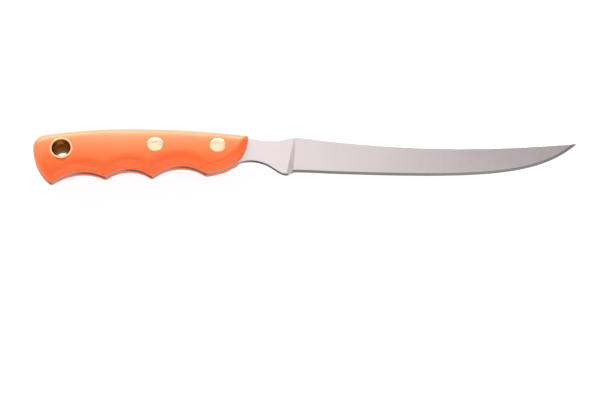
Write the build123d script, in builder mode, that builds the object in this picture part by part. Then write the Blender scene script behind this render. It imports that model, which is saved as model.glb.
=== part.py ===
"""A fillet knife: a full-tang blade between two riveted handle scales.

The knife lies on its left scale. +X runs from the butt to the tip, +Y from the cutting edge to the
spine, and +Z from the left side of the knife to its right side. The origin is the bottom centre of
the knife's bounding box. Outlines are drawn on planes whose own y is measured from the handle's
centre line, so rises and drops below are heights over and under that line. All lengths are in
millimetres and all angles in degrees.
"""
import os
from math import acos, atan2, cos, hypot, radians, sin, sqrt, tan

from build123d import *

# The lengths of the knife's three stretches, and the thickness of the steel and of one scale.
handle_length = 108.0
ricasso_length = 21.72
blade_length = 143.78
stock = 2.5
scale_thickness = 6.6

# Handle spine: two long arcs that meet at the crest, then a round shoulder down to the butt. The
# crest moves along when the handle gets longer or shorter, so it is given as a share of its length.
crest_share = 0.4430555556
crest_rise = 11.35
rear_spine_radius = 255.0
front_rise = 7.36
shoulder_radius = 6.5
butt_radius = 26.0
butt_bulge_rise = 2.4
pommel_corner_radius = 1.5

# The three finger grooves: place of the deepest point, its depth and the radius of each.
rear_groove_from_butt = 25.4
rear_groove_drop = 11.65
rear_groove_radius = 23.0
middle_groove_from_butt = 48.5
middle_groove_drop = 10.05
middle_groove_radius = 17.1
front_groove_from_butt = 74.4
front_groove_drop = 8.35
front_groove_radius = 20.3
ridge_radius = 1.8

# The underside ahead of the grooves is a short straight rise that ends at the choil.
underside_from_front = 10.4
underside_slope = 15.8
underside_corner_radius = 2.5

# Choil and heel: one hollow for the first finger, then a straight run down to the heel, which
# sits a little behind the plunge line's crossing with the centre line.
choil_from_front = 1.15
choil_drop = 5.15
choil_radius = 18.0
heel_drop = 12.6
heel_setback = 1.27
heel_flat = 3.0
heel_radius = 8.0
heel_step_length = 2.6
heel_step_radius = 1.2

# Spine of the ricasso and of the blade.
thumb_dip_from_front = 11.25
thumb_dip_rise = 5.85
thumb_dip_radius = 31.0
spine_root_radius = 15.0
spine_sag_from_tip = 57.9
spine_sag_rise = 1.38
blade_spine_radius = 535.0

# The cutting edge is one long curve from the heel to the tip.
edge_heel_drop = 11.35
edge_heel_angle = 2.3
edge_heel_pull = 89.0
edge_tip_angle = 43.0
edge_tip_pull = 29.0

# The grind: a ramp that slants across the blade, one flat bevel on each side, and a narrow
# sharpened bevel down to the land, the last thickness left at the edge.
plunge_slant = 10.3
plunge_ramp = 2.0
grind_slope = 2.7
sharpened_width = 1.4
sharpened_base = 0.54
edge_land = 0.06
grind_reach = 26.0

# Handle scales: a crown across the knife, and rounded borders above a short upright wall.
crown_radius = 35.0
crown_drop = 1.5
wall_height = 0.5
spine_round = 6.0
groove_round = 6.6
underside_round = 3.7
front_round = 3.0
front_arc_radius = 23.0
front_arc_rise = 8.7
front_border_turn = 130.0
quarter_turn = 90.0

# Rivets: a shank pressed into a barrel, each with a head that is ground flush with its scale.
front_rivet_from_front = 14.95
front_rivet_rise = 0.2
rear_rivet_from_front = 46.3
rear_rivet_rise = 0.7
rivet_head_diameter = 7.8
rivet_head_depth = 1.9
barrel_diameter = 4.76
shank_diameter = 3.1
barrel_end_gap = 0.4
shank_end_gap = 1.0

# Lanyard tube: one brass tube with both ends flared out over the scales.
lanyard_from_butt = 14.65
lanyard_drop = 1.4
tube_bore = 7.1
tube_wall = 0.8
lip_diameter = 11.6
lip_mouth = 9.4
lip_sink = 0.45
lip_dome = 0.35
lip_edge = 0.35
flare_depth = 1.9

# The play around rivets and tube, and one overrun for every cutting and trimming tool.
drilled_play = 0.05
overrun = 3.0

# Places along the knife.
overall_length = handle_length + ricasso_length + blade_length
butt_x = -overall_length / 2
front_x = butt_x + handle_length
plunge_x = front_x + ricasso_length
tip_x = plunge_x + blade_length

# Heights of the layers over the ground, and heights over the middle of the steel.
tang_bottom = scale_thickness
tang_middle = tang_bottom + stock / 2
tang_top = tang_bottom + stock
scale_crest = stock / 2 + scale_thickness
head_seat = scale_crest - rivet_head_depth
lip_rim = scale_crest - lip_sink

# Each arc of the outline lies on a circle, given by its centre's x and y and its radius.
crest_from_butt = handle_length * crest_share
crest_x = butt_x + crest_from_butt
front_run = handle_length - crest_from_butt
front_fall = crest_rise - front_rise
front_spine_radius = (front_run**2 + front_fall**2) / (2 * front_fall)
rear_spine = (crest_x, crest_rise - rear_spine_radius, rear_spine_radius)
front_spine = (crest_x, crest_rise - front_spine_radius, front_spine_radius)
butt = (butt_x + butt_radius, butt_bulge_rise, butt_radius)
thumb_dip = (front_x + thumb_dip_from_front, thumb_dip_rise + thumb_dip_radius, thumb_dip_radius)
blade_spine = (tip_x - spine_sag_from_tip, spine_sag_rise + blade_spine_radius, blade_spine_radius)
choil = (front_x + choil_from_front, -choil_drop - choil_radius, choil_radius)
front_arc = (front_x - front_arc_radius, front_arc_rise, front_arc_radius)
grooves = [
    (butt_x + rear_groove_from_butt, -rear_groove_drop - rear_groove_radius, rear_groove_radius),
    (
        butt_x + middle_groove_from_butt,
        -middle_groove_drop - middle_groove_radius,
        middle_groove_radius,
    ),
    (butt_x + front_groove_from_butt, -front_groove_drop - front_groove_radius, front_groove_radius),
]


def crossings(first, second):
    """The two points where two circles cross, the left one first."""
    across = second[0] - first[0]
    along = second[1] - first[1]
    distance = hypot(across, along)
    reach = (distance**2 + first[2] ** 2 - second[2] ** 2) / (2 * distance)
    half_chord = sqrt(first[2] ** 2 - reach**2)
    base_x = first[0] + reach * across / distance
    base_y = first[1] + reach * along / distance
    step_x = half_chord * along / distance
    step_y = half_chord * across / distance
    return sorted([(base_x + step_x, base_y - step_y), (base_x - step_x, base_y + step_y)])


def widened(circle, amount):
    """The circle with the same centre and a radius larger by an amount."""
    return (circle[0], circle[1], circle[2] + amount)


def top_of(circle, x):
    return circle[1] + sqrt(circle[2] ** 2 - (x - circle[0]) ** 2)


def bottom_of(circle, x):
    return circle[1] - sqrt(circle[2] ** 2 - (x - circle[0]) ** 2)


def toward(circle, point):
    """The point of a circle in the direction of another point."""
    stretch = circle[2] / hypot(point[0] - circle[0], point[1] - circle[1])
    return (
        circle[0] + stretch * (point[0] - circle[0]),
        circle[1] + stretch * (point[1] - circle[1]),
    )


def tangent_point(circle, point):
    """Where the upper tangent from a point right of a circle touches it."""
    across = point[0] - circle[0]
    along = point[1] - circle[1]
    heading = atan2(along, across) + acos(circle[2] / hypot(across, along))
    return (circle[0] + circle[2] * cos(heading), circle[1] + circle[2] * sin(heading))


def arc_on(circle, start, end):
    """The short arc of a circle between two of its points."""
    between = ((start[0] + end[0]) / 2, (start[1] + end[1]) / 2)
    return ThreePointArc(start, toward(circle, between), end)


# The middle of the knife's width lies over the origin. Its highest point is the crest of the
# spine, and its lowest is on the rounding of the pommel's lower corner.
pommel_rounding = crossings(
    widened(butt, -pommel_corner_radius), widened(grooves[0], pommel_corner_radius)
)[0]
pommel_low = pommel_rounding[1] - pommel_corner_radius
centre_line_y = -(crest_rise + pommel_low) / 2


def level(height):
    """A plane to draw outlines on, at a height over the ground."""
    return Plane(origin=(0, centre_line_y, height))


# Corners of the outline.
shoulder = crossings(butt, rear_spine)[0]
crest = (crest_x, crest_rise)
neck = crossings(front_spine, thumb_dip)[0]
blade_root = crossings(thumb_dip, blade_spine)[1]
tip = (tip_x, bottom_of(blade_spine, tip_x))
heel = (plunge_x - heel_setback, -heel_drop)
edge_start = (heel[0] + heel_step_length, -edge_heel_drop)
run_foot = (heel[0] - heel_flat, -heel_drop)
run_top = tangent_point(choil, run_foot)
underside_x = front_x - underside_from_front
underside = (underside_x, top_of(choil, underside_x))

# The blank runs on below the grooves, which are then cut out of it as whole circles.
blank_low = pommel_low - overrun
blank_turn_x = underside_x - (underside[1] - blank_low) / tan(radians(underside_slope))
blank_butt = (butt[0] - sqrt(butt[2] ** 2 - (blank_low - butt[1]) ** 2), blank_low)

edge_poles = [
    tip,
    (
        tip[0] - edge_tip_pull * cos(radians(edge_tip_angle)),
        tip[1] - edge_tip_pull * sin(radians(edge_tip_angle)),
    ),
    (
        edge_start[0] + edge_heel_pull * cos(radians(edge_heel_angle)),
        edge_start[1] - edge_heel_pull * sin(radians(edge_heel_angle)),
    ),
    edge_start,
]

with BuildSketch() as knife_outline:
    with BuildLine():
        arc_on(rear_spine, shoulder, crest)
        arc_on(front_spine, crest, neck)
        arc_on(thumb_dip, neck, blade_root)
        arc_on(blade_spine, blade_root, tip)
        Bezier(*edge_poles)
        Polyline(edge_start, heel, run_foot, run_top)
        arc_on(choil, run_top, underside)
        Polyline(underside, (blank_turn_x, blank_low), blank_butt)
        arc_on(butt, blank_butt, shoulder)
    make_face()
    for groove in grooves:
        with Locations((groove[0], groove[1])):
            Circle(groove[2], mode=Mode.SUBTRACT)
    pommel, *ridges, underside_corner = (
        knife_outline.vertices()
        .filter_by_position(Axis.X, butt_x, underside_x + overrun)
        .filter_by_position(Axis.Y, blank_low, 0)
        .sort_by(Axis.X)
    )
    fillet(ridges, radius=ridge_radius)
    for corner, rounding in (
        (pommel, pommel_corner_radius),
        (underside_corner, underside_corner_radius),
        (shoulder, shoulder_radius),
        (blade_root, spine_root_radius),
        (run_foot, heel_radius),
        (heel, heel_step_radius),
        (edge_start, heel_step_radius),
    ):
        fillet(knife_outline.vertices().sort_by_distance(corner)[0], radius=rounding)

with BuildSketch() as scale_outline:
    add(knife_outline.sketch)
    with BuildSketch(mode=Mode.INTERSECT):
        with Locations((front_arc[0], front_arc[1])):
            Circle(front_arc[2])
        with Locations((front_arc[0], 0)):
            Rectangle(handle_length, overall_length, align=(Align.MAX, Align.CENTER))


def edge_point(share):
    """A point of the cutting edge, at a share of its curve's own run from the heel to the tip."""
    weights = (
        share**3,
        3 * share**2 * (1 - share),
        3 * share * (1 - share) ** 2,
        (1 - share) ** 3,
    )
    return tuple(
        sum(weight * pole[axis] for weight, pole in zip(weights, edge_poles)) for axis in (0, 1)
    )


def grind_section(point, depth_share):
    """What the wheel takes off the right side, across the blade above a point of the edge."""
    slant = radians(plunge_slant)
    across_blade = Plane(
        origin=(point[0], point[1] + centre_line_y, tang_middle),
        x_dir=(sin(slant), cos(slant), 0),
        z_dir=(cos(slant), -sin(slant), 0),
    )
    face = stock / 2
    bevel_top = sharpened_base / 2
    grind_top = bevel_top + (grind_reach - sharpened_width) * tan(radians(grind_slope))
    full_grind = [
        (-overrun, edge_land / 2),
        (0, edge_land / 2),
        (sharpened_width, bevel_top),
        (grind_reach, grind_top),
    ]
    ground = [(up, face + depth_share * (height - face)) for up, height in full_grind]
    with BuildSketch(across_blade) as section:
        with BuildLine():
            Polyline(*ground, (grind_reach, face + overrun), (-overrun, face + overrun), close=True)
        make_face()
    return section.sketch


# The ramp of the plunge starts at no depth on the slanted line and ends at the full grind.
ramp_start = (plunge_x - edge_heel_drop * tan(radians(plunge_slant)), -edge_heel_drop)
ramp_end = (ramp_start[0] + plunge_ramp, -edge_heel_drop)
with BuildPart() as plunge_tool:
    loft([grind_section(ramp_start, 0), grind_section(ramp_end, 1)], ruled=True)

station_shares = [0.08, 0.2, 0.32, 0.44, 0.56, 0.66, 0.75, 0.83, 0.9, 0.95, 1.0]
beyond_tip = (
    tip[0] + overrun * cos(radians(edge_tip_angle)),
    tip[1] + overrun * sin(radians(edge_tip_angle)),
)
stations = [ramp_end, *[edge_point(share) for share in station_shares], beyond_tip]
with BuildPart() as grind_tool:
    loft([grind_section(station, 1) for station in stations], ruled=True)

steel_middle = Plane.XY.offset(tang_middle)
rivet_places = [
    (front_x - front_rivet_from_front, front_rivet_rise),
    (front_x - rear_rivet_from_front, rear_rivet_rise),
]
lanyard_place = (butt_x + lanyard_from_butt, -lanyard_drop)
tube_radius = tube_bore / 2 + tube_wall

# The blade, ricasso and full tang are one piece of steel.
with BuildPart() as blade:
    with BuildSketch(level(tang_bottom)):
        add(knife_outline.sketch)
    extrude(amount=stock)
    for tool in (plunge_tool, grind_tool):
        add(tool.part, mode=Mode.SUBTRACT)
        add(mirror(tool.part, about=steel_middle, mode=Mode.PRIVATE), mode=Mode.SUBTRACT)
    with BuildSketch(level(tang_bottom)):
        with Locations(*rivet_places):
            Circle(barrel_diameter / 2 + drilled_play)
        with Locations(lanyard_place):
            Circle(tube_radius + drilled_play)
    extrude(amount=stock, mode=Mode.SUBTRACT)
blade.part.label = "blade"


def border_section(plane, start, inward, width, outer):
    """What is cut off above a scale's border, where x is start on the outline itself."""
    inner_x = start + inward * width
    top = scale_thickness + overrun
    with BuildSketch(plane) as section:
        with BuildLine():
            EllipticalCenterArc(
                (inner_x, wall_height),
                width,
                scale_thickness - wall_height,
                start_angle=quarter_turn + inward * quarter_turn,
                arc_size=-inward * quarter_turn,
            )
            Polyline(
                (inner_x, scale_thickness),
                (inner_x, top),
                (outer, top),
                (outer, wall_height),
                (start, wall_height),
            )
        make_face()
    return section.sketch


def upright(point, outward):
    """A plane across the outline at a point, with x pointing out of the handle and y up."""
    return Plane(
        origin=(point[0], point[1] + centre_line_y, tang_top),
        x_dir=(outward[0], outward[1], 0),
        z_dir=(outward[1], -outward[0], 0),
    )


def turned_axis(circle):
    return Axis((circle[0], circle[1] + centre_line_y, 0), (0, 0, 1))


# Hollow borders, above the finger grooves and the choil, are turned round each circle's centre.
hollow_borders = []
for circle, width in [*[(groove, groove_round) for groove in grooves], (choil, underside_round)]:
    with BuildPart() as hollow_border:
        revolve(
            border_section(upright(circle, (1, 0)), circle[2], 1, width, 0),
            axis=turned_axis(circle),
        )
    hollow_borders.append(hollow_border.part)

# The border of the straight underside runs past both of its ends.
underside_run = (cos(radians(underside_slope)), sin(radians(underside_slope)))
underside_end = (
    underside[0] + overrun * underside_run[0],
    underside[1] + overrun * underside_run[1],
)
with BuildPart() as underside_border:
    underside_plane = upright(underside_end, (underside_run[1], -underside_run[0]))
    extrude(
        border_section(underside_plane, 0, -1, underside_round, overrun), amount=front_groove_radius
    )

# The border at the front end is turned round the front arc's centre, past both of its ends.
with BuildPart() as front_border:
    revolve(
        border_section(
            upright(front_arc, (0, -1)), front_arc[2], -1, front_round, front_arc[2] + overrun
        ),
        axis=turned_axis(front_arc),
        revolution_arc=front_border_turn,
    )

# The border of the spine and butt follows their outline round the shoulder.
shoulder_rounding = crossings(widened(butt, -shoulder_radius), widened(rear_spine, -shoulder_radius))[0]
spine_end_x = front_x + overrun
spine_end = (spine_end_x, top_of(front_spine, spine_end_x))
spine_out = (
    (spine_end[0] - front_spine[0]) / front_spine_radius,
    (spine_end[1] - front_spine[1]) / front_spine_radius,
)
shoulder_front = toward(rear_spine, shoulder_rounding)
shoulder_rear = toward(butt, shoulder_rounding)
with BuildPart() as spine_border:
    with BuildLine(level(tang_top)) as spine_path:
        arc_on(front_spine, spine_end, crest)
        arc_on(rear_spine, crest, shoulder_front)
        arc_on((*shoulder_rounding, shoulder_radius), shoulder_front, shoulder_rear)
        arc_on(butt, shoulder_rear, blank_butt)
    sweep(
        border_section(upright(spine_end, spine_out), 0, -1, spine_round, overrun),
        path=spine_path.line,
    )

with BuildPart() as scale_blank:
    with BuildSketch(level(tang_top)):
        add(scale_outline.sketch)
    extrude(amount=scale_thickness)
    crown_centre = (
        butt_x - overrun,
        centre_line_y - crown_drop,
        tang_top + scale_thickness - crown_radius,
    )
    with BuildSketch(Plane(origin=crown_centre, x_dir=(0, 1, 0), z_dir=(1, 0, 0))):
        Circle(crown_radius)
    extrude(amount=handle_length + 2 * overrun, mode=Mode.INTERSECT)
    for border in [spine_border.part, underside_border.part, front_border.part, *hollow_borders]:
        add(border, mode=Mode.SUBTRACT)


def half_tube_plane():
    """A plane through the lanyard tube's axis, with x across the tube and y up from its middle."""
    return Plane(
        origin=(lanyard_place[0], lanyard_place[1] + centre_line_y, tang_middle),
        x_dir=(1, 0, 0),
        z_dir=(0, -1, 0),
    )


tube_axis = turned_axis(lanyard_place)
flare_foot = lip_rim - flare_depth
lip_under = lip_rim - lip_edge

# The right scale is drilled for both rivets, with seats for their heads, and for the flared tube.
with BuildPart() as right_scale:
    add(scale_blank.part)
    with BuildSketch(level(tang_top)):
        with Locations(*rivet_places):
            Circle(barrel_diameter / 2 + drilled_play)
    extrude(amount=scale_thickness, mode=Mode.SUBTRACT)
    with BuildSketch(level(tang_middle + head_seat)):
        with Locations(*rivet_places):
            Circle(rivet_head_diameter / 2 + drilled_play)
    extrude(amount=rivet_head_depth, mode=Mode.SUBTRACT)
    with BuildSketch(half_tube_plane()):
        with BuildLine():
            Polyline(
                (0, 0),
                (tube_radius + drilled_play, 0),
                (tube_radius + drilled_play, flare_foot),
                (lip_diameter / 2 + drilled_play, lip_under),
                (lip_diameter / 2 + drilled_play, scale_crest),
                (0, scale_crest),
                close=True,
            )
        make_face()
    revolve(axis=tube_axis, mode=Mode.SUBTRACT)
right_scale.part.label = "right_scale"

with BuildPart() as left_scale:
    mirror(right_scale.part, about=steel_middle)
left_scale.part.label = "left_scale"

# Each rivet is two turned brass pieces: the male one enters from the right side.
rivets = []
for rivet_name, place in zip(("front_rivet", "rear_rivet"), rivet_places):
    with BuildPart() as male:
        with BuildSketch(level(tang_middle + head_seat)):
            with Locations(place):
                Circle(rivet_head_diameter / 2)
        extrude(amount=rivet_head_depth)
        add(scale_blank.part, mode=Mode.INTERSECT)
        with BuildSketch(level(tang_middle + head_seat)):
            with Locations(place):
                Circle(shank_diameter / 2)
        extrude(amount=shank_end_gap - 2 * head_seat)
    male.part.label = rivet_name + "_male"
    with BuildPart() as female:
        with BuildSketch(level(tang_middle - head_seat)):
            with Locations(place):
                Circle(rivet_head_diameter / 2)
        extrude(amount=-rivet_head_depth)
        add(mirror(scale_blank.part, about=steel_middle, mode=Mode.PRIVATE), mode=Mode.INTERSECT)
        with BuildSketch(level(tang_middle - head_seat)):
            with Locations(place):
                Circle(barrel_diameter / 2)
                Circle(shank_diameter / 2, mode=Mode.SUBTRACT)
        extrude(amount=2 * head_seat - barrel_end_gap)
    female.part.label = rivet_name + "_female"
    rivets += [male.part, female.part]

with BuildPart() as lanyard_tube:
    with BuildSketch(half_tube_plane()):
        with BuildLine():
            Polyline(
                (tube_bore / 2, 0),
                (tube_radius, 0),
                (tube_radius, flare_foot),
                (lip_diameter / 2, lip_under),
                (lip_diameter / 2, lip_rim),
            )
            ThreePointArc(
                (lip_diameter / 2, lip_rim),
                ((lip_diameter + lip_mouth) / 4, lip_rim + lip_dome),
                (lip_mouth / 2, lip_rim),
            )
            Polyline((lip_mouth / 2, lip_rim), (tube_bore / 2, flare_foot), (tube_bore / 2, 0))
        make_face()
    revolve(axis=tube_axis)
    mirror(lanyard_tube.part, about=steel_middle)
lanyard_tube.part.label = "lanyard_tube"

os.makedirs("parts", exist_ok=True)
for piece in [blade.part, right_scale.part, left_scale.part, *rivets, lanyard_tube.part]:
    export_step(piece, "parts/" + piece.label + ".step")
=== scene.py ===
# %% [markdown]
# A fillet knife is a short list of pieces: one long piece of steel that is blade, ricasso and tang
# at once, two orange handle scales, two brass rivets and a brass tube for a lanyard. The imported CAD
# model already says where each piece is and how large. This lesson keeps those places and makes
# each surface over again, finer, with its real finish. The first cell loads the CAD model as a
# frame that nothing here may move.

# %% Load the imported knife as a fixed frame
from functools import partial
from math import atan, cos, degrees, pi, radians, sin, tan, tau

import bpy
import numpy as np
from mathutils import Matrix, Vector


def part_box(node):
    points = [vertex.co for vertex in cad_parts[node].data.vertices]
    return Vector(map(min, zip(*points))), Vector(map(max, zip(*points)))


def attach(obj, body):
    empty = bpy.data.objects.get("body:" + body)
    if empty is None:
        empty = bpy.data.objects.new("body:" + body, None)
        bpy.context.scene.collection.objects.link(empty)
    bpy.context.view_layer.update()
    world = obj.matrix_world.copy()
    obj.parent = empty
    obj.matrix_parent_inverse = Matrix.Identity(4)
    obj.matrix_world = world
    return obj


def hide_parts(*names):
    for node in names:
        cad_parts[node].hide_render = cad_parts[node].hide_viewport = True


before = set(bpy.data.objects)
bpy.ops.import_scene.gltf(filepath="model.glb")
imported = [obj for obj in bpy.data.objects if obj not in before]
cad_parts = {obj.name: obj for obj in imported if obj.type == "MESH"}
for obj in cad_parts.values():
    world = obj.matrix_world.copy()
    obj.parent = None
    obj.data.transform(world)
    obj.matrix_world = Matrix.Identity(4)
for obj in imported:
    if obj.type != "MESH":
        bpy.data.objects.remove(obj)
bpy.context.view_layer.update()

# %% [markdown]
# A few places are used by every piece, so they are read from the frame once. The steel's box gives
# the two faces of the steel and its middle. The handle's centre line is the line that the knife's
# heights were drawn from, and the front rivet sits a known rise above it.

# %% Read the shared places
mm = 0.001
steel_low, steel_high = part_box("blade")
scale_low, scale_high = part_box("right_scale")
rivet_low, rivet_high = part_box("front_rivet_male")
stock = steel_high.z - steel_low.z
steel_middle = (steel_low.z + steel_high.z) / 2
front_rivet_rise = 0.2 * mm
centre_line = (rivet_low.y + rivet_high.y) / 2 - front_rivet_rise
print(f"steel {stock / mm:.2f} mm thick, centre line at y {centre_line / mm:.2f} mm")

# %% [markdown]
# Geometry Nodes do the shaping in this lesson: a tree is a rule that can be read and tried with
# other sizes. Trees written in a script get long, so small helpers keep them short. The first makes
# a tree with named inputs, the second adds a node and feeds it, and each of the others adds a step
# that the trees need again and again.


# %% Helpers that write node trees
def new_tree(name, inputs):
    """A Geometry Nodes tree with named inputs, and the nodes at its two ends."""
    tree = bpy.data.node_groups.new(name, "GeometryNodeTree")
    for label, kind in [("Geometry", "Geometry"), *inputs]:
        tree.interface.new_socket(label, in_out="INPUT", socket_type="NodeSocket" + kind)
    tree.interface.new_socket("Geometry", in_out="OUTPUT", socket_type="NodeSocketGeometry")
    return tree, tree.nodes.new("NodeGroupInput").outputs, tree.nodes.new("NodeGroupOutput")


def add_node(tree, kind, feeds=(), **settings):
    """One node; feeds gives each input, by name or number, a socket to follow or a fixed value."""
    node = tree.nodes.new(kind)
    for key, value in settings.items():
        setattr(node, key, value)
    for key, value in dict(feeds).items():
        if isinstance(value, bpy.types.NodeSocket):
            tree.links.new(value, node.inputs[key])
        else:
            node.inputs[key].default_value = value
    return node


def maths(tree, operation, *values):
    """The result of one arithmetic node."""
    return add_node(tree, "ShaderNodeMath", enumerate(values), operation=operation).outputs[0]


def arc_height(tree, radius, aside):
    """How high an arc stands over its centre, at a distance aside from the middle."""
    square, gone = maths(tree, "MULTIPLY", radius, radius), maths(tree, "MULTIPLY", aside, aside)
    return maths(tree, "SQRT", maths(tree, "MAXIMUM", maths(tree, "SUBTRACT", square, gone), 0))


def named_value(tree, name, kind="FLOAT"):
    """A value that was stored on the mesh under a name."""
    feeds = {"Name": name}
    return add_node(tree, "GeometryNodeInputNamedAttribute", feeds, data_type=kind).outputs[0]


def stored(tree, geometry, name, value, **settings):
    """The geometry with a value stored on it under a name."""
    feeds = {"Geometry": geometry, "Name": name, "Value": value}
    return add_node(tree, "GeometryNodeStoreNamedAttribute", feeds, **settings).outputs[0]


def position(tree):
    """Where each point is."""
    return add_node(tree, "GeometryNodeInputPosition").outputs[0]


def axes(tree, vector):
    """The X, Y and Z of a vector."""
    return add_node(tree, "ShaderNodeSeparateXYZ", {0: vector}).outputs


def placed(tree, geometry, x, y, z):
    """The geometry with each point moved to its place."""
    place = add_node(tree, "ShaderNodeCombineXYZ", {0: x, 1: y, 2: z}).outputs[0]
    feeds = {"Geometry": geometry, "Position": place}
    return add_node(tree, "GeometryNodeSetPosition", feeds).outputs[0]


def merge_close(tree, geometry, distance):
    """The geometry with points closer than a distance made one."""
    feeds = {"Geometry": geometry, "Distance": distance}
    return add_node(tree, "GeometryNodeMergeByDistance", feeds).outputs[0]


def shaped(name, mesh, tree, inputs):
    """A new piece: the mesh after the tree has shaped it, kept as a plain mesh."""
    piece = bpy.data.objects.new(name, mesh)
    bpy.context.scene.collection.objects.link(piece)
    modifier = piece.modifiers.new("shape", "NODES")
    modifier.node_group = tree
    sockets = {
        socket.name: socket.identifier
        for socket in tree.interface.items_tree if socket.in_out == "INPUT"
    }
    for label, value in inputs.items():
        modifier[sockets[label]] = value
    return kept_plain(piece)


def kept_plain(piece):
    """The piece with its modifiers worked into its mesh, its smooth faces kept smooth."""
    depsgraph = bpy.context.evaluated_depsgraph_get()
    depsgraph.update()
    mesh = bpy.data.meshes.new_from_object(piece.evaluated_get(depsgraph), depsgraph=depsgraph)
    piece.modifiers.clear()
    piece.data = mesh
    mesh.name = piece.name
    mesh.shade_smooth()
    mesh.set_sharp_from_angle(angle=radians(38))
    return piece


# %% [markdown]
# The outlines come from the frame, so that the finer pieces fit it exactly. A CAD mesh keeps its
# corners on the true outline and spans between them with straight edges. Reading only the corners
# that lie on the outline, and passing a smooth curve through them, gives the drawn arcs back
# without their facets. The lower and the upper outline are read apart, each from left to right.


# %% Read smooth outlines from the CAD meshes
def outline(node, side, spacing):
    """The lower (side -1) or upper (side 1) outline of a CAD node, seen from above."""
    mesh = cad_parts[node].data
    points = np.array([vertex.co[:2] for vertex in mesh.vertices])
    ends = np.array([edge.vertices[:] for edge in mesh.edges])
    first, second = points[ends[:, 0]], points[ends[:, 1]]
    swapped = first[:, 0] > second[:, 0]
    first[swapped], second[swapped] = second[swapped], first[swapped]
    run = np.maximum(second[:, 0] - first[:, 0], 1e-12)
    corners = []
    tolerance = 0.001 * mm
    for x, y in np.unique(points.round(7), axis=0):
        crossed = (first[:, 0] <= x + tolerance) & (second[:, 0] >= x - tolerance)
        share = np.clip((x - first[crossed, 0]) / run[crossed], 0, 1)
        heights = first[crossed, 1] + share * (second[crossed, 1] - first[crossed, 1])
        if side * y >= (side * heights).max() - tolerance:
            corners.append((x, y))
    corners = np.array(corners)
    keep = np.append(True, np.linalg.norm(np.diff(corners, axis=0), axis=1) > 10 * tolerance)
    return smooth_curve(corners[keep], spacing)


def smooth_curve(corners, spacing):
    """Close points on a smooth curve through some corners, pulled evenly on both sides of each."""
    spans = np.linalg.norm(np.diff(corners, axis=0), axis=1, keepdims=True)
    slopes = np.diff(corners, axis=0) / spans
    inner = (slopes[:-1] * spans[1:] + slopes[1:] * spans[:-1]) / (spans[:-1] + spans[1:])
    pulls = np.vstack([slopes[:1], inner, slopes[-1:]])
    curve = [corners[:1]]
    for index, length in enumerate(spans[:, 0]):
        share = np.linspace(0, 1, max(2, int(length / spacing) + 2))[1:, None]
        start, end = corners[index], corners[index + 1]
        rise = share**2 * (3 - 2 * share)
        curve.append(
            start + rise * (end - start)
            + length * share * (1 - share) ** 2 * pulls[index]
            - length * share**2 * (1 - share) * pulls[index + 1]
        )
    return np.vstack(curve)


point_gap = 0.3 * mm
steel_lower, steel_upper = outline("blade", -1, point_gap), outline("blade", 1, point_gap)
scale_lower, scale_upper = outline("right_scale", -1, point_gap), outline("right_scale", 1, point_gap)
print("steel outline:", len(steel_lower), "and", len(steel_upper), "points")
print("scale outline:", len(scale_lower), "and", len(scale_upper), "points")

# %% [markdown]
# Steel and scales both start as a flat sheet of quads that fills their outline: a column at each
# station along the knife and a row at each share of the way across. Columns and rows are close
# together where the finished surface will turn sharply, and far apart on the flats. Two measures
# are stored on each point for the trees to read, and both are plain distances in the sheet.


# %% Make flat sheets and measure distances on them
def flat_sheet(name, columns):
    """A sheet of quads from columns of points, each column from the lower to the upper outline."""
    count, rows = columns.shape[:2]
    points = np.concatenate([columns.reshape(-1, 2), np.zeros((count * rows, 1))], axis=1)
    corner = (np.arange(count - 1)[:, None] * rows + np.arange(rows - 1)).ravel()
    quads = np.stack([corner, corner + rows, corner + rows + 1, corner + 1], axis=1)
    mesh = bpy.data.meshes.new(name)
    mesh.from_pydata(points.tolist(), [], quads.tolist())
    return mesh


def store(mesh, name, values):
    """Stores a value on each point of a mesh, under a name."""
    mesh.attributes.new(name, "FLOAT", "POINT").data.foreach_set("value", values.astype(np.float32))


def distance_to(columns, line):
    """How far each point of the columns lies from the nearest place on a line."""
    points = columns.reshape(-1, 1, 2)
    steps = np.diff(line, axis=0)
    across = points - line[:-1]
    share = np.clip((across * steps).sum(axis=2) / (steps**2).sum(axis=1), 0, 1)
    return np.linalg.norm(across - share[..., None] * steps, axis=2).min(axis=1)


def legs(*stretches):
    """Stations along the knife: each stretch has its end, its count, and a pull towards one end."""
    start, stations = stretches[0], []
    for stop, count, pull in stretches[1:]:
        share = np.arange(count) / count
        eased = share**pull if pull >= 1 else 1 - (1 - share) ** (1 / pull)
        stations.append(start + (stop - start) * eased)
        start = stop
    return np.append(np.concatenate(stations), start)


def rows_across(height, lower_rows, upper_rows, middle_count):
    """Heights of the rows in columns of given heights, close together at both rims."""
    reach = lower_rows[:, -1] + upper_rows[:, -1]
    fit = np.minimum(1, 0.7 * height / reach)[:, None]
    low, high = lower_rows * fit, height[:, None] - upper_rows * fit
    share = np.linspace(0, 1, middle_count + 2)[1:-1]
    middle = low[:, -1:] + share * (high[:, -1:] - low[:, -1:])
    return np.concatenate([low, middle, high[:, ::-1]], axis=1)


# %% [markdown]
# The steel is one sheet from butt to tip. Its columns lean with the plunge line, where the grind
# starts, so that a column runs exactly along that line and keeps it crisp. Rows follow the cutting
# edge at the height of the sharpened bevel for the same reason. Each point stores how far it lies
# from the cutting edge, for the grind, and from the rim, whose corners are broken a little.

# %% Lay out the steel sheet
tip_x = steel_high.x
blade_length = 143.78 * mm
ricasso_length = 21.72 * mm
heel_setback = 1.27 * mm
heel_step_end = 3.2 * mm
plunge_x = tip_x - blade_length
front_x = plunge_x - ricasso_length
plunge_slant = tan(radians(10.3))
sharpened_width = 1.4 * mm
corner_round = 0.09 * mm
steel_start = steel_low.x + 0.01 * mm
steel_end = tip_x - 0.02 * mm

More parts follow.
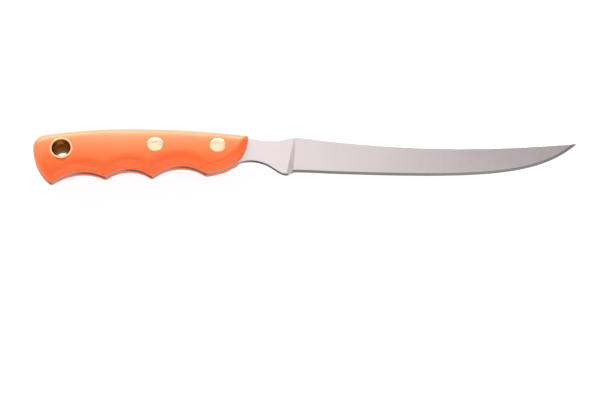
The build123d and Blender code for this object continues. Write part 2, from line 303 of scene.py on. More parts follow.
near_plunge = 7 * mm
stations = legs(
    steel_start, (steel_start + 8 * mm, 34, 2), (front_x, 170, 1), (plunge_x - near_plunge, 34, 1),
    (plunge_x + near_plunge, 90, 1), (tip_x - 30 * mm, 90, 1), (steel_end, 70, 0.6),
)
lean_places = [front_x, plunge_x - near_plunge, tip_x - 40 * mm, tip_x]
lean = plunge_slant * np.interp(stations, lean_places, [0, 1, 1, 0])


def leaning_ends(line):
    """Where the leaning columns meet an outline."""
    x = stations.copy()
    for _ in range(12):
        x = stations + lean * (np.interp(x, *line.T) - centre_line)
    return np.stack([x, np.interp(x, *line.T)], axis=1)


column_feet, column_heads = leaning_ends(steel_lower), leaning_ends(steel_upper)
column_heights = np.linalg.norm(column_heads - column_feet, axis=1)
foot_slope = np.abs(np.gradient(column_feet[:, 1], column_feet[:, 0]))
foot_stretch = np.sqrt(1 + np.minimum(foot_slope, 1) ** 2)[:, None]
rim_rows = np.array([0, 0.2, 0.55, 1]) * corner_round
bevel_rows = np.array([0.5, 0.97, 1.03]) * sharpened_width
lower_rows = np.append(rim_rows, bevel_rows) * foot_stretch
upper_rows = rim_rows * np.ones_like(foot_stretch)
row_heights = rows_across(column_heights, lower_rows, upper_rows, 14)
row_shares = (row_heights / column_heights[:, None])[..., None]
steel_columns = column_feet[:, None] + row_shares * (column_heads - column_feet)[:, None]
print("steel sheet:", steel_columns.shape[0], "columns of", steel_columns.shape[1], "points")

# %% [markdown]
# The cutting edge is the part of the lower outline past the heel. Everything else of the outline is
# rim: it was sheared and ground square, and then its corners were broken.

# %% Measure the steel sheet
heel_x = plunge_x - heel_setback
edge_line = steel_lower[steel_lower[:, 0] >= heel_x]
rim_lines = [steel_upper, steel_lower[steel_lower[:, 0] <= heel_x + heel_step_end]]
steel_sheet = flat_sheet("steel_sheet", steel_columns)
from_rims = [distance_to(steel_columns, line) for line in rim_lines]
store(steel_sheet, "from_edge", distance_to(steel_columns, edge_line))
store(steel_sheet, "from_rim", np.min(from_rims, axis=0))
edge_length = np.linalg.norm(np.diff(edge_line, axis=0), axis=1).sum()
print(f"cutting edge {edge_length / mm:.1f} mm long")

# %% [markdown]
# Both sheets become solids in the same way. The sheet is pushed up into a slab, a flipped copy
# closes it underneath, and the two are merged at the rim. Then each point of the top and of the
# bottom gets its real height. This group does the first half and says which points are on top.


# %% A group that makes a closed slab of a sheet
def slab(tree, sheet, thickness):
    """A closed slab made of a sheet, the places of its points, and which of them are on top."""
    feeds = {"Mesh": sheet, "Offset Scale": thickness, "Individual": False}
    raised = add_node(tree, "GeometryNodeExtrudeMesh", feeds).outputs
    walls = stored(tree, raised["Mesh"], "wall", raised["Side"], data_type="BOOLEAN", domain="FACE")
    under = add_node(tree, "GeometryNodeFlipFaces", {"Mesh": sheet}).outputs[0]
    joined = add_node(tree, "GeometryNodeJoinGeometry")
    tree.links.new(walls, joined.inputs[0])
    tree.links.new(under, joined.inputs[0])
    place = axes(tree, position(tree))
    upper = maths(tree, "GREATER_THAN", place["Z"], 0.5 * thickness)
    return merge_close(tree, joined.outputs[0], 0.0001 * mm), place, upper


def finished(tree, geometry, end, materials):
    """The end of every tree: instances made real, materials set, the first on everything."""
    real = add_node(tree, "GeometryNodeRealizeInstances", {"Geometry": geometry}).outputs[0]
    for selection, material in materials:
        feeds = {"Geometry": real, "Material": material}
        if selection is not None:
            feeds["Selection"] = selection
        real = add_node(tree, "GeometryNodeSetMaterial", feeds).outputs[0]
    tree.links.new(real, end.inputs[0])


# %% [markdown]
# A knife grinder sees the blade as three surfaces: the full stock, a flat bevel that leans in
# towards the edge, and a narrow sharpened bevel that leans in more. At any point the steel is as
# thick as the thinnest of the three, which is two "minimum" nodes. Where the flat bevel starts, the
# round grinding wheel leaves its print: a crisp line on the ricasso's side, and then a hollow that
# runs out over a few millimetres, further where the cut is deeper. The sharpened bevel starts a
# little past it, on a slant. The tree is that rule, with its slopes and widths as named inputs.


# %% The grinding tree
def grinding_tree():
    """Gives the steel slab the thickness that the grinds leave, and broken corners."""
    sizes = [
        "Stock", "Middle", "Land", "Sharpened Width", "Sharpened Base", "Grind Slope", "Plunge Place",
        "Plunge Slant", "Wheel Radius", "Bevel Start", "Stone Radius", "Corner Round",
    ]
    finishes = ["Face Finish", "Profile Finish", "Bevel Finish"]
    inputs = [(size, "Float") for size in sizes] + [(finish, "Material") for finish in finishes]
    tree, value, end = new_tree("grind_the_steel", inputs)
    calc = partial(maths, tree)
    solid, place, upper = slab(tree, value["Geometry"], stock)
    from_edge, from_rim = named_value(tree, "from_edge"), named_value(tree, "from_rim")
    face = calc("MULTIPLY", value["Stock"], 0.5)
    half_land = calc("MULTIPLY", value["Land"], 0.5)
    half_base = calc("MULTIPLY", value["Sharpened Base"], 0.5)

    above = calc("SUBTRACT", from_edge, value["Sharpened Width"])
    grind = calc("MULTIPLY_ADD", above, value["Grind Slope"], half_base)
    full_cut = calc("SUBTRACT", face, calc("MINIMUM", face, grind))
    plunge = calc("MULTIPLY_ADD", place["Y"], value["Plunge Slant"], value["Plunge Place"])
    past = calc("SUBTRACT", place["X"], plunge)
    wheel = calc("MULTIPLY", value["Wheel Radius"], 2)
    reach = calc("SQRT", calc("MULTIPLY", full_cut, wheel))
    hollow = calc("MAXIMUM", calc("SUBTRACT", reach, past), 0)
    uncut = calc("DIVIDE", calc("MULTIPLY", hollow, hollow), wheel)
    wheel_print = calc("SUBTRACT", face, calc("MAXIMUM", calc("SUBTRACT", full_cut, uncut), 0))
    fresh = calc("MULTIPLY", calc("DIVIDE", hollow, reach), calc("GREATER_THAN", past, 0))
    solid = stored(tree, solid, "fresh_cut", fresh, data_type="FLOAT")

    bevel_fall = calc("SUBTRACT", half_base, half_land)
    bevel_slope = calc("DIVIDE", bevel_fall, value["Sharpened Width"])
    before = calc("MAXIMUM", calc("SUBTRACT", value["Bevel Start"], past), 0)
    stone = calc("MULTIPLY", value["Stone Radius"], 2)
    run_in = calc("DIVIDE", calc("MULTIPLY", before, before), stone)
    bevel = calc("MULTIPLY_ADD", from_edge, bevel_slope, calc("ADD", run_in, half_land))

    corner = value["Corner Round"]
    missing = calc("SUBTRACT", corner, calc("MINIMUM", from_rim, corner))
    broken = calc("SUBTRACT", arc_height(tree, corner, missing), corner)
    ground = calc("ADD", calc("MINIMUM", wheel_print, bevel), broken)
    half = calc("MAXIMUM", ground, half_land)
    height = calc("MULTIPLY_ADD", calc("MULTIPLY_ADD", upper, 2, -1), half, value["Middle"])
    shape = placed(tree, solid, place["X"], place["Y"], height)
    wall = named_value(tree, "wall", "BOOLEAN")
    on_bevel = calc("LESS_THAN", bevel, wheel_print)
    finished(tree, shape, end, zip((None, wall, on_bevel), (value[finish] for finish in finishes)))
    return tree


# %% [markdown]
# Satin stainless steel is a metal with fine straight scratches, left by the last belt. Three
# finishes are needed. The faces are satin, with the scratches across the knife. The profile, the
# narrow sides all round, was cut and deburred but never satin finished, so it is rougher. Its
# darker colour is painted shade, for the knife's shadow on the table that these sides mirror. The
# sides that face the tip get a lighter tone, which is painted light. The sharpened bevel comes
# from a stone, with scratches that run across the edge. One function makes all three, because
# they differ only in colour, roughness and how strong the scratches are. The wheel's print at the
# plunge is rougher than the satin round it, which the belt smoothed out again.


# %% The steel finishes
def new_material(name):
    """An empty material with a shader and an output, and Object coordinates in metres."""
    material = bpy.data.materials.new(name)
    material.use_nodes = True
    tree = material.node_tree
    tree.nodes.clear()
    shader = add_node(tree, "ShaderNodeBsdfPrincipled")
    output = add_node(tree, "ShaderNodeOutputMaterial")
    tree.links.new(shader.outputs[0], output.inputs["Surface"])
    return material, tree, shader, add_node(tree, "ShaderNodeTexCoord").outputs["Object"]


def stretched_noise(tree, place, stretch, scale, detail):
    """A noise pattern drawn out along the axes with a low stretch."""
    mapping = add_node(tree, "ShaderNodeMapping", {"Vector": place, "Scale": stretch}).outputs[0]
    feeds = {"Vector": mapping, "Scale": scale, "Detail": detail}
    return add_node(tree, "ShaderNodeTexNoise", feeds).outputs["Fac"]


def blend(tree, first, second, share):
    """Two patterns added up, of which the first has a share of the whole."""
    return maths(tree, "MULTIPLY_ADD", first, share, maths(tree, "MULTIPLY", second, 1 - share))


def ranged(tree, value, low, high, start=0.0, end=1.0):
    """The value moved from one range to another."""
    feeds = {"Value": value, "From Min": start, "From Max": end, "To Min": low, "To Max": high}
    return add_node(tree, "ShaderNodeMapRange", feeds).outputs[0]


def linear(red, green, blue):
    """A colour as the shader counts it, from the values that a picture shows, 0 to 255."""
    def one(level):
        share = level / 255
        return share / 12.92 if share <= 0.04045 else ((share + 0.055) / 1.055) ** 2.4
    return (one(red), one(green), one(blue), 1.0)


def two_tones(tree, factor, dark, light):
    """A colour between two tones."""
    feeds = {"Factor": factor, "A": dark, "B": light}
    mix = add_node(tree, "ShaderNodeMix", data_type="RGBA")
    for label, value in feeds.items():
        socket = next(s for s in mix.inputs if s.name == label and s.enabled)
        if isinstance(value, bpy.types.NodeSocket):
            tree.links.new(value, socket)
        else:
            socket.default_value = value
    return next(s for s in mix.outputs if s.enabled)


def scratch(tree, shader, pattern, strength, depth):
    """Works a pattern of scratches into the surface, as a very shallow bump."""
    feeds = {"Height": pattern, "Strength": strength, "Distance": depth}
    bump = add_node(tree, "ShaderNodeBump", feeds).outputs[0]
    tree.links.new(bump, shader.inputs["Normal"])


def steel_finish(name, dark, light, roughness, depth, buffing_and_painted_light=None):
    """Ground steel scratched across the knife; the last tone paints light on tip-facing sides."""
    material, tree, shader, place = new_material(name)
    fine = stretched_noise(tree, place, (1, 0.02, 1), 9000, 2)
    coarse = stretched_noise(tree, place, (1, 0.05, 1), 1500, 2)
    cloud = stretched_noise(tree, place, (1, 1, 1), 45, 3)
    lines = blend(tree, coarse, fine, 0.4)
    tone = ranged(tree, blend(tree, lines, cloud, 0.4), 0, 1, 0.25, 0.75)
    colour = two_tones(tree, tone, dark, light)
    # Painted light: sides that face the tip get a lighter tone.
    if buffing_and_painted_light is not None:
        facing = add_node(tree, "ShaderNodeTexCoord").outputs["Normal"]
        tip_facing_painted_light = ranged(tree, axes(tree, facing)["X"], 0, 1, -0.05, 0.3)
        colour = two_tones(tree, tip_facing_painted_light, colour, buffing_and_painted_light)
    tree.links.new(colour, shader.inputs["Base Color"])
    fresh_cut = add_node(tree, "ShaderNodeAttribute", attribute_name="fresh_cut").outputs["Fac"]
    satin = ranged(tree, lines, roughness - 0.03, roughness + 0.03, 0.3, 0.7)
    tree.links.new(maths(tree, "MULTIPLY_ADD", fresh_cut, 0.3, satin), shader.inputs["Roughness"])
    scratch(tree, shader, lines, 0.08, depth)
    shader.inputs["Metallic"].default_value = 1.0
    return material


satin_steel = steel_finish(
    "satin_steel", linear(213, 202, 203), linear(220, 210, 211), 0.3, 0.003 * mm)
# The profile's dark tones are painted shade; its last tone is painted light on tip-facing sides.
profile_steel = steel_finish(
    "profile_steel", linear(94, 86, 85), linear(118, 109, 108), 0.45, 0.006 * mm,
    buffing_and_painted_light=linear(190, 165, 156))
sharpened_steel = steel_finish(
    "sharpened_steel", linear(124, 119, 119), linear(138, 133, 133), 0.5, 0.004 * mm)

# %% [markdown]
# Now the sheet and the rule come together. The hole for the lanyard tube is drilled afterwards with
# a Boolean, as it would be on the bench.

# %% Grind the blade
steel_sizes = {
    "Stock": stock, "Middle": steel_middle, "Land": 0.06 * mm, "Corner Round": corner_round,
    "Sharpened Width": sharpened_width, "Sharpened Base": 0.54 * mm,
    "Plunge Place": plunge_x + 0.2 * mm - centre_line * plunge_slant, "Plunge Slant": plunge_slant,
    "Grind Slope": tan(radians(3.3)), "Wheel Radius": 3.6 * mm,
    "Bevel Start": 3 * mm, "Stone Radius": 2.5 * mm,
    "Face Finish": satin_steel, "Profile Finish": profile_steel, "Bevel Finish": sharpened_steel,
}
blade_steel = shaped("blade_steel", steel_sheet, grinding_tree(), steel_sizes)
print("blade:", len(blade_steel.data.polygons), "faces")

# %% [markdown]
# A handle scale is a slab with a crown across it, and its border is rounded down to a short upright
# wall that stays flush with the steel. The rounding is a quarter of an ellipse, so it only depends
# on how far a point lies from the rim, as a share of the border's width. The border is widest along
# the finger grooves and the spine, and narrower on the underside and at the front end. The outline
# is therefore cut into runs at the tips between the grooves and at the front's corners. Where two
# borders meet, the smaller share would win and leave a sharp crease, but a real handle is sanded
# soft there. A power mean of the shares does the sanding: it is the smallest share, except where
# two are close, and there it is a little less than both.

# %% Cut the scale's outline into runs
spine_border = 6 * mm
groove_border = 6.6 * mm
underside_border = 3.7 * mm
front_border = 3 * mm
neighbours = 5
low_places = [
    index for index in range(neighbours, len(scale_lower) - neighbours)
    if scale_lower[index, 1] == scale_lower[index - neighbours:index + neighbours + 1, 1].min()
]
rises = np.diff(scale_lower[:, 1]) / np.diff(scale_lower[:, 0])
front_foot = low_places[-1] + np.argmax(rises[low_places[-1]:] > 1)
spine_and_butt = np.vstack([scale_lower[low_places[0]:0:-1], scale_upper])
runs = [(spine_and_butt, spine_border), (scale_lower[front_foot:], front_border)]
for start, stop in zip(low_places, low_places[1:]):
    runs.append((scale_lower[start:stop + 1], groove_border))
runs.append((scale_lower[low_places[-1]:front_foot + 1], underside_border))
print("low places at", [round(scale_lower[index, 0] / mm, 1) for index in low_places], "mm")
print("the outline is cut into", len(runs), "runs")

# %% Lay out the scale sheet
scale_thickness = scale_high.z - scale_low.z
scale_start, scale_end = scale_lower[0, 0] + 0.01 * mm, scale_lower[-1, 0] - 0.01 * mm
scale_stations = legs(
    scale_start, (scale_start + 9 * mm, 44, 2), (scale_end - 11 * mm, 190, 1), (scale_end, 56, 0.5),
)
scale_feet = np.stack([scale_stations, np.interp(scale_stations, *scale_lower.T)], axis=1)
scale_heads = np.stack([scale_stations, np.interp(scale_stations, *scale_upper.T)], axis=1)
across_shares = (0.5 - 0.5 * np.cos(np.linspace(0, pi, 53)))[None, :, None]
scale_columns = scale_feet[:, None] + across_shares * (scale_heads - scale_feet)[:, None]
sharpness = 4
least_share = 1e-4
border_shares = np.array([distance_to(scale_columns, run) / width for run, width in runs])
inward = (np.maximum(border_shares, least_share) ** -sharpness).sum(axis=0) ** (-1 / sharpness)
scale_sheet = flat_sheet("scale_sheet", scale_columns)
store(scale_sheet, "inward", inward)
print("scale sheet:", scale_columns.shape[0], "columns of", scale_columns.shape[1], "points")

# %% [markdown]
# Both the crown and the border lower the scale's surface from its full thickness. Taking the larger
# of the two drops would leave an edge where they cross. The tree combines them as the sides of a
# triangle are combined, only with a third power in place of a square. In the middle of the handle,
# where the border has no drop, the crown is left exactly as it is, so the rivets stay flush with it.


# %% The handle tree
def handle_tree():
    """Gives a scale slab its crown and its rounded border."""
    sizes = ["Bottom", "Thickness", "Wall Height", "Crown Radius", "Crown Line", "Side", "Power"]
    inputs = [(size, "Float") for size in sizes] + [("Softness", "Int"), ("Finish", "Material")]
    tree, value, end = new_tree("round_the_scale", inputs)
    calc = partial(maths, tree)
    thickness, radius, power = value["Thickness"], value["Crown Radius"], value["Power"]
    solid, place, upper = slab(tree, value["Geometry"], stock)

    inward = named_value(tree, "inward")
    missing = calc("SUBTRACT", 1, ranged(tree, inward, 0, 1))
    border_height = calc("SUBTRACT", thickness, value["Wall Height"])
    border_drop = calc("MULTIPLY", calc("SUBTRACT", 1, arc_height(tree, 1, missing)), border_height)
    aside = calc("SUBTRACT", place["Y"], value["Crown Line"])
    crown_drop = calc("SUBTRACT", radius, arc_height(tree, radius, aside))
    shares = [calc("DIVIDE", drop, thickness) for drop in (border_drop, crown_drop)]
    powers = calc("ADD", *[calc("POWER", share, power) for share in shares])
    drop = calc("MULTIPLY", calc("POWER", powers, calc("DIVIDE", 1, power)), thickness)

    feeds = {"Value": calc("SUBTRACT", thickness, drop), "Iterations": value["Softness"],
             "Weight": ranged(tree, inward, 0, 1, 0, 0.35)}
    soft = add_node(tree, "GeometryNodeBlurAttribute", feeds).outputs[0]
    height = calc("MULTIPLY_ADD", calc("MULTIPLY", upper, soft), value["Side"], value["Bottom"])
    shape = placed(tree, solid, place["X"], place["Y"], height)
    turned_over = calc("LESS_THAN", value["Side"], 0)
    feeds = {"Mesh": shape, "Selection": turned_over}
    outward = add_node(tree, "GeometryNodeFlipFaces", feeds).outputs[0]
    finished(tree, outward, end, [(None, value["Finish"])])
    return tree


# %% [markdown]
# The handle material is smooth orange plastic, sanded and buffed. It isn't one flat colour: there
# is a faint cloudiness in it, the buffing left hair-fine scratches along the knife, and the finish
# is a little duller where the hand rubs. The colour goes through two tones mixed by a soft noise,
# and the scratches go into the roughness and a very shallow bump.


# %% The handle finish
def handle_finish():
    """Buffed orange plastic."""
    material, tree, shader, place = new_material("orange_handle")
    cloud = stretched_noise(tree, place, (1, 1.6, 1.6), 60, 4)
    speck = stretched_noise(tree, place, (1, 1, 1), 2600, 2)
    rubbed = stretched_noise(tree, place, (0.06, 1, 1), 3200, 3)
    tone = ranged(tree, blend(tree, cloud, speck, 0.75), 0, 1, 0.3, 0.7)
    colour = two_tones(tree, tone, linear(255, 102, 42), linear(255, 109, 50))
    tree.links.new(colour, shader.inputs["Base Color"])
    tree.links.new(ranged(tree, rubbed, 0.45, 0.55, 0.3, 0.7), shader.inputs["Roughness"])
    scratch(tree, shader, rubbed, 0.15, 0.008 * mm)
    shader.inputs["Specular IOR Level"].default_value = 0.4
    return material


orange_handle = handle_finish()
scale_sizes = {
    "Thickness": scale_thickness, "Wall Height": 0.5 * mm, "Crown Radius": 35 * mm,
    "Crown Line": centre_line - 1.5 * mm, "Power": 3, "Softness": 6, "Finish": orange_handle,
}
scale_rule = handle_tree()
right_handle_scale = shaped("right_handle_scale", scale_sheet, scale_rule,
                            {**scale_sizes, "Bottom": steel_high.z, "Side": 1.0})
left_handle_scale = shaped("left_handle_scale", scale_sheet, scale_rule,
                           {**scale_sizes, "Bottom": steel_low.z, "Side": -1.0})
print("scale:", len(right_handle_scale.data.polygons), "faces")

# %% [markdown]
# Everything brass on this knife is turned: it is a profile spun round an axis. The turning tree
# bends a plain grid into a ring of such profiles. Rivet heads are ground flush after they are
# pressed in, so their tops follow the handle's crown, and the tree lowers every point above a given
# height by the crown's fall. The same tree also makes the cutters that drill the holes.


# %% The turning tree
def turning_tree():
    """Turns a profile of (radius, 0, height) points round an upright axis."""
    inputs = [
        ("Place", "Vector"), ("Steps", "Int"), ("Crown From", "Float"), ("Crown Radius", "Float"),
        ("Crown Line", "Float"), ("Side", "Float"), ("Finish", "Material"),
    ]
    tree, value, end = new_tree("turn_a_profile", inputs)
    calc = partial(maths, tree)
    drawn, radius = value["Geometry"], value["Crown Radius"]
    size = add_node(tree, "GeometryNodeAttributeDomainSize", {"Geometry": drawn}, component="MESH")
    points = size.outputs["Point Count"]
    columns = calc("ADD", value["Steps"], 1)
    feeds = {"Size X": 1.0, "Size Y": 1.0, "Vertices Y": points, "Vertices X": columns}
    grid = add_node(tree, "GeometryNodeMeshGrid", feeds).outputs[0]
    flat = axes(tree, position(tree))
    turn = calc("MULTIPLY", calc("ADD", flat["X"], 0.5), tau)
    row = calc("MULTIPLY", calc("ADD", flat["Y"], 0.5), calc("SUBTRACT", points, 1))
    feeds = {"Geometry": drawn, "Value": position(tree), "Index": calc("ROUND", row)}
    sample = add_node(
        tree, "GeometryNodeSampleIndex", feeds, data_type="FLOAT_VECTOR", domain="POINT")
    profile, centre = axes(tree, sample.outputs[0]), axes(tree, value["Place"])

    x = calc("MULTIPLY_ADD", profile["X"], calc("COSINE", turn), centre["X"])
    y = calc("MULTIPLY_ADD", profile["X"], calc("SINE", turn), centre["Y"])
    aside = calc("SUBTRACT", y, value["Crown Line"])
    fall = calc("SUBTRACT", arc_height(tree, radius, aside), radius)
    crowned = calc("MULTIPLY", fall, calc("GREATER_THAN", profile["Z"], value["Crown From"]))
    risen = calc("ADD", profile["Z"], crowned)
    height = calc("MULTIPLY_ADD", risen, value["Side"], centre["Z"])
    solid = merge_close(tree, placed(tree, grid, x, y, height), 0.0005 * mm)
    feeds = {"Mesh": solid, "Selection": calc("GREATER_THAN", value["Side"], 0)}
    outward = add_node(tree, "GeometryNodeFlipFaces", feeds).outputs[0]
    finished(tree, outward, end, [(None, value["Finish"])])
    return tree


turning_rule = turning_tree()


def turned(name, profile, place, finish, side=1.0, crown_from=1.0, steps=96):
    """A piece turned from (radius, height) points; heights count from the middle of the steel."""
    mesh = bpy.data.meshes.new(name + "_profile")
    mesh.from_pydata([(radius, 0, height) for radius, height in profile], [], [])
    inputs = {"Place": (*place, steel_middle), "Steps": steps, "Crown From": crown_from, "Side": side,
              "Crown Radius": scale_sizes["Crown Radius"], "Crown Line": scale_sizes["Crown Line"]}
    if finish is not None:
        inputs["Finish"] = finish
    return shaped(name, mesh, turning_rule, inputs)


# %% [markdown]
# Brass that is ground and buffed with the handle takes the same hair-fine scratches. That is true
# of the rivet heads and of the tube's two lips. Inside, the tube is only drawn and never polished.
# Its funnel inside the lip is given a darker tone. A bright band round the edge between mouth and
# bore is a painted highlight, where light catches the turn into the bore. The height over or under
# the middle of the steel tells these apart, so a colour ramp on that height holds the whole story.
# Its colours tint the brass, and their fourth number adds roughness.


# %% The brass finishes
def brass_finish(name, dark, light, roughness, lines_along):
    """Bright brass with hair-fine scratches."""
    material, tree, shader, place = new_material(name)
    lines = stretched_noise(tree, place, lines_along, 5200, 3)
    cloud = stretched_noise(tree, place, (1, 1, 1), 260, 3)
    tone = ranged(tree, blend(tree, cloud, lines, 0.6), 0, 1, 0.3, 0.7)
    tree.links.new(two_tones(tree, tone, dark, light), shader.inputs["Base Color"])
    buffing_and_painted_light = ranged(tree, lines, roughness - 0.04, roughness + 0.06, 0.3, 0.7)
    tree.links.new(buffing_and_painted_light, shader.inputs["Roughness"])
    scratch(tree, shader, lines, 0.08, 0.003 * mm)
    shader.inputs["Metallic"].default_value = 1.0
    return material


def tints_by_height(material, reach, stops):
    """Tones and dullness that follow the height from the middle of the steel, up to a reach."""
    tree = material.node_tree
    shader = next(node for node in tree.nodes if node.type == "BSDF_PRINCIPLED")
    place = add_node(tree, "ShaderNodeTexCoord").outputs["Object"]
    over_middle = maths(tree, "SUBTRACT", axes(tree, place)["Z"], steel_middle)
    from_middle = maths(tree, "ABSOLUTE", over_middle)
    ramp = add_node(tree, "ShaderNodeValToRGB", {0: maths(tree, "DIVIDE", from_middle, reach)})
    points = ramp.color_ramp.elements
    for level, tone in stops:
        points.new(level / reach).color = tone
    points.remove(points[0])
    points.remove(points[len(points) - 1])
    bright = shader.inputs["Base Color"].links[0].from_socket
    feeds = {0: bright, 1: ramp.outputs[0]}
    tinted = add_node(tree, "ShaderNodeVectorMath", feeds, operation="MULTIPLY").outputs[0]
    tree.links.new(tinted, shader.inputs["Base Color"])
    bare = shader.inputs["Roughness"].links[0].from_socket
    tree.links.new(maths(tree, "ADD", bare, ramp.outputs["Alpha"]), shader.inputs["Roughness"])
    return material


rivet_brass = brass_finish(
    "rivet_brass", linear(228, 204, 168), linear(234, 213, 179), 0.27, (0.05, 1, 1))
tube_brass = brass_finish(
    "tube_brass", linear(228, 184, 137), linear(236, 194, 148), 0.24, (1, 1, 0.08))

# %% [markdown]
# Each rivet is two halves that are pressed together inside the handle: a shank on one side and a
# barrel on the other. Only the ground tops of their heads show, with a hair of shadow round them
# where the edge is broken. The halves are the same rule with other sizes, so they come from a loop.

# %% Turn the rivets
head_radius = 3.9 * mm
head_edge = 0.05 * mm
scale_crest = stock / 2 + scale_thickness
head_seat = scale_crest - 1.9 * mm
shank_radius = 1.55 * mm
barrel_radius = 2.38 * mm
barrel_end_gap, shank_end_gap = 0.4 * mm, 1.0 * mm
head_top = scale_crest - 0.004 * mm
head_profile = [
    (0, head_top), (0.5 * head_radius, head_top), (head_radius - 2 * head_edge, head_top),
    (head_radius - head_edge, head_top - 0.2 * head_edge), (head_radius, head_top - head_edge),
    (head_radius, head_seat),
]
male_end = shank_end_gap - head_seat
female_end = barrel_end_gap - head_seat
male_profile = [*head_profile, (shank_radius, head_seat), (shank_radius, male_end), (0, male_end)]
female_profile = [*head_profile, (barrel_radius, head_seat), (barrel_radius, female_end),
                  (shank_radius, female_end), (shank_radius, head_seat), (0, head_seat)]
rivet_halves, rivet_centres = [], []
for rivet in ("front_rivet", "rear_rivet"):
    low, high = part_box(rivet + "_male")
    place = ((low.x + high.x) / 2, (low.y + high.y) / 2)
    rivet_centres.append(place)
    for half, profile, side in (("_male", male_profile, 1.0), ("_female", female_profile, -1.0)):
        piece = turned(rivet + half + "_half", profile, place, rivet_brass, side, head_seat + 0.5 * mm)
        rivet_halves.append((piece, rivet + half))
print("rivet halves:", [piece.name for piece, node in rivet_halves])

# %% [markdown]
# The lanyard tube is flared at both ends. Its lip is a flat ring with rounded edges that stands a
# little proud of the handle, and inside the lip the mouth funnels down to the straight bore. Each
# edge is a quarter circle of points, and the mouth is a shallow curve that meets the bore at a
# crisp edge.

# %% Turn the lanyard tube
tube_low, tube_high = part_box("lanyard_tube")
tube_place = ((tube_low.x + tube_high.x) / 2, (tube_low.y + tube_high.y) / 2)
bore_radius = 3.55 * mm
tube_radius = 4.35 * mm
lip_radius = (tube_high.x - tube_low.x) / 2
lip_top = tube_high.z - steel_middle
mouth_radius = 4.78 * mm
lip_edge = 0.1 * mm
lip_rim = lip_top - lip_edge
lip_under = lip_top - 0.7 * mm
flare_foot = lip_top - 2.25 * mm
mouth_hollow = 0.1 * mm


def tube_profile():
    """The tube's wall in section: outside up to the lip, over its flat ring, and down the mouth."""
    upper = [(tube_radius, flare_foot), (lip_radius - lip_edge, lip_under)]
    upper.append((lip_radius, lip_under + lip_edge))
    for corner, side in ((lip_radius - lip_edge, 1), (mouth_radius + lip_edge, -1)):
        for step in range(5):
            turn = pi / 2 * (step / 4 if side > 0 else 1 - step / 4)
            upper.append((corner + side * lip_edge * cos(turn), lip_rim + lip_edge * sin(turn)))
    for share in (0.2, 0.4, 0.6, 0.8, 1.0):
        hollow = mouth_hollow * 4 * share * (1 - share)
        radius = mouth_radius + (bore_radius - mouth_radius) * share + hollow
        upper.append((radius, lip_rim + (flare_foot - lip_rim) * share))
    lower = [(radius, -height) for radius, height in reversed(upper)]
    return [*upper, *lower, upper[0]]


# The bright stop round the flare's foot is a painted highlight, and the funnel's stop is a darker
# tone.
polished = (0.97, 0.82, 0.76, 0.15)
darker_funnel = (*linear(140, 134, 112)[:3], 0.05)
painted_highlight = (*linear(250, 222, 150)[:3], 0.2)
drawn = (*linear(200, 165, 100)[:3], 0.3)
tints_by_height(tube_brass, lip_top, [
    (flare_foot - 2.6 * mm, drawn), (flare_foot - 1.4 * mm, painted_highlight), (flare_foot + 0.1 * mm, painted_highlight),
    (flare_foot + 0.35 * mm, darker_funnel), (lip_rim - 0.12 * mm, darker_funnel), (lip_rim + 0.01 * mm, polished),
])
lanyard_lining = turned("lanyard_lining", tube_profile(), tube_place, tube_brass, 1.0, steps=128)
print("tube:", len(lanyard_lining.data.polygons), "faces")

# %% [markdown]
# Holes are drilled last. Each cutter is turned a hair larger than the piece that fills the hole, and
# a Boolean takes it away from the steel or from a scale. The cutters are deleted afterwards.

# %% Drill the holes
hole_play = 0.08 * mm
past = 3 * mm
head_hole, lip_hole = head_radius + hole_play, lip_radius + hole_play
barrel_hole, tube_hole = barrel_radius + hole_play, tube_radius + hole_play
seat_cut = [
    (0, scale_crest + past), (head_hole, scale_crest + past), (head_hole, head_seat),
    (barrel_hole, head_seat), (barrel_hole, 0), (0, 0),
]
lip_cut = [
    (0, scale_crest + past), (lip_hole, scale_crest + past), (lip_hole, lip_under),
    (tube_hole, flare_foot), (tube_hole, 0), (0, 0),
]
through_cut = [
    (0, scale_crest), (tube_hole, scale_crest), (tube_hole, -scale_crest), (0, -scale_crest),
]


def drilled(piece, profiles, side):
    """Takes turned cutters away from a piece."""
    cutters = []
    for number, (profile, place) in enumerate(profiles):
        cutters.append(turned(f"cutter_{number}", profile, place, None, side))
        boolean = piece.modifiers.new("hole", "BOOLEAN")
        boolean.operation = "DIFFERENCE"
        boolean.solver = "EXACT"
        boolean.object = cutters[-1]
    kept_plain(piece)
    for cutter in cutters:
        bpy.data.objects.remove(cutter)


drilled(blade_steel, [(through_cut, tube_place)], 1.0)
for piece, side in ((right_handle_scale, 1.0), (left_handle_scale, -1.0)):
    drilled(piece, [(lip_cut, tube_place), *[(seat_cut, place) for place in rivet_centres]], side)
print("drilled steel:", len(blade_steel.data.polygons), "faces")
print("drilled scale:", len(right_handle_scale.data.polygons), "faces")

# %% [markdown]
# Each finished piece stands for its CAD node, which is hidden, and rides on the knife's one body.
# The list also names the record's finish for each piece.

# %% Put the pieces in the frame
dressed = [
    (blade_steel, "blade", "blade_steel"), (right_handle_scale, "right_scale", "orange_handle"),
    (left_handle_scale, "left_scale", "orange_handle"), (lanyard_lining, "lanyard_tube", "tube_brass"),
    *[(piece, node, "rivet_brass") for piece, node in rivet_halves],
]
for piece, node, finish in dressed:
    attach(piece, "root")
    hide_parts(node)

# %% [markdown]
# The knife lies on a white table under soft light. The high lamp behind it is what flat steel
# mirrors towards the camera, brightest over the ricasso and fading towards the tip. The low lamp
# behind it lights the handle's upper side. Weaker lamps stand in front, at the left and at the
# right, a small one hangs over the tip, and an even pale sky fills in. The table's colour carries
# the white background, also where metal mirrors it, and still takes the knife's shadow.


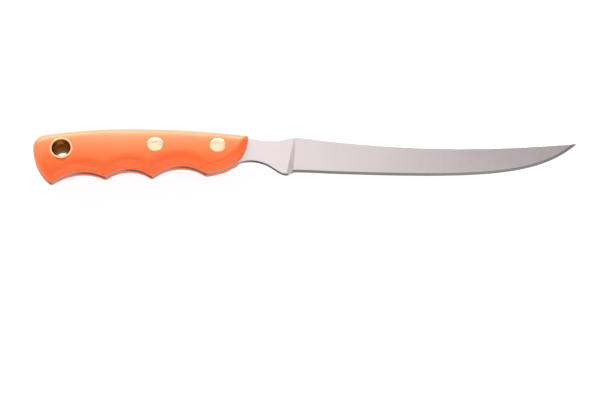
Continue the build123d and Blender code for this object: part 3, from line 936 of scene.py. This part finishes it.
# %% Table and light
def table_finish(camera_share, mirror_share):
    """A white table that keeps a soft shadow; a share of what is seen of it is plain white."""
    material, tree, shader, place = new_material("white_table")
    grain = stretched_noise(tree, place, (1, 1, 1), 30, 2)
    colour = two_tones(tree, grain, linear(226, 226, 226), linear(230, 230, 230))
    tree.links.new(colour, shader.inputs["Base Color"])
    shader.inputs["Roughness"].default_value = 0.9
    shader.inputs["Specular IOR Level"].default_value = 0.0
    path = add_node(tree, "ShaderNodeLightPath").outputs
    mirrored = maths(tree, "MAXIMUM", path["Is Glossy Ray"], path["Is Transmission Ray"])
    in_mirrors = maths(tree, "MULTIPLY", mirrored, mirror_share)
    in_picture = maths(tree, "MULTIPLY", path["Is Camera Ray"], camera_share)
    white = add_node(tree, "ShaderNodeEmission", {"Strength": 1.04}).outputs[0]
    feeds = {0: maths(tree, "MAXIMUM", in_picture, in_mirrors), 1: shader.outputs[0], 2: white}
    mixed = add_node(tree, "ShaderNodeMixShader", feeds).outputs[0]
    output = next(node for node in tree.nodes if node.type == "OUTPUT_MATERIAL")
    tree.links.new(mixed, output.inputs["Surface"])
    return material


bpy.ops.mesh.primitive_plane_add(size=8)
table = bpy.context.object
table.name = "white_table"
table.data.materials.append(table_finish(camera_share=0.9, mirror_share=0.4))


def soft_lamp(name, place, size, aim, radiance):
    """A large soft lamp that looks at a point; radiance is how bright its face looks."""
    data = bpy.data.lights.new(name, "AREA")
    data.shape = "RECTANGLE"
    data.size, data.size_y = size
    data.energy = radiance * pi * size[0] * size[1]
    lamp = bpy.data.objects.new(name, data)
    bpy.context.scene.collection.objects.link(lamp)
    lamp.location = place
    lamp.rotation_euler = (Vector(aim) - Vector(place)).to_track_quat("-Z", "Y").to_euler()


soft_lamp("high_back_lamp", (-0.41, 0.30, 0.77), (0.95, 0.42), (-0.41, 0, 0), 1.0)
soft_lamp("low_back_lamp", (-0.4, 0.96, 0.32), (1.3, 0.42), (-0.4, 0, 0), 19.8)
soft_lamp("front_lamp", (-0.1, -1.0, 0.3), (1.5, 0.45), (-0.1, 0, 0), 2.5)
soft_lamp("left_lamp", (-1.0, 0.45, 0.45), (0.8, 0.6), (0, 0.45, 0), 2.3)
soft_lamp("right_lamp", (0.75, -0.75, 0.5), (0.8, 0.5), (0, 0, 0), 1.5)
soft_lamp("tip_lamp", (0.15, -0.06, 0.26), (0.14, 0.1), (0.15, 0, 0), 4)
world = bpy.data.worlds.new("pale_sky")
bpy.context.scene.world = world
world.use_nodes = True
sky = world.node_tree.nodes["Background"].inputs
sky["Color"].default_value = (1, 1, 1, 1)
sky["Strength"].default_value = 0.39

# %% [markdown]
# A camera is placed like a photographer: far off with a long lens, above the cutting edge side, and
# looking down at 65 degrees. A pinhole fit to the knife's outline gave the numbers. The lens is
# given for a picture 600 pixels wide.

# %% Camera
picture_width = 600
focal_pixels = 2664
fall_below_axis = 48
aim_pitch = radians(26) - atan(fall_below_axis / focal_pixels)
camera_data = bpy.data.cameras.new("camera")
camera_data.sensor_width = 36
camera_data.lens = focal_pixels * camera_data.sensor_width / picture_width
camera_data.clip_start, camera_data.clip_end = 0.05, 20
camera = bpy.data.objects.new("camera", camera_data)
bpy.context.scene.collection.objects.link(camera)
camera.location = (-2.6 * mm, centre_line - 587.5 * mm, steel_middle + 1204.7 * mm)
camera.rotation_euler = (aim_pitch, 0, 0)
bpy.context.scene.camera = camera
bpy.context.scene.view_settings.view_transform = "Standard"
print(f"camera {degrees(pi / 2 - aim_pitch):.1f} degrees above the table")
print(f"lens {camera_data.lens:.0f} mm")
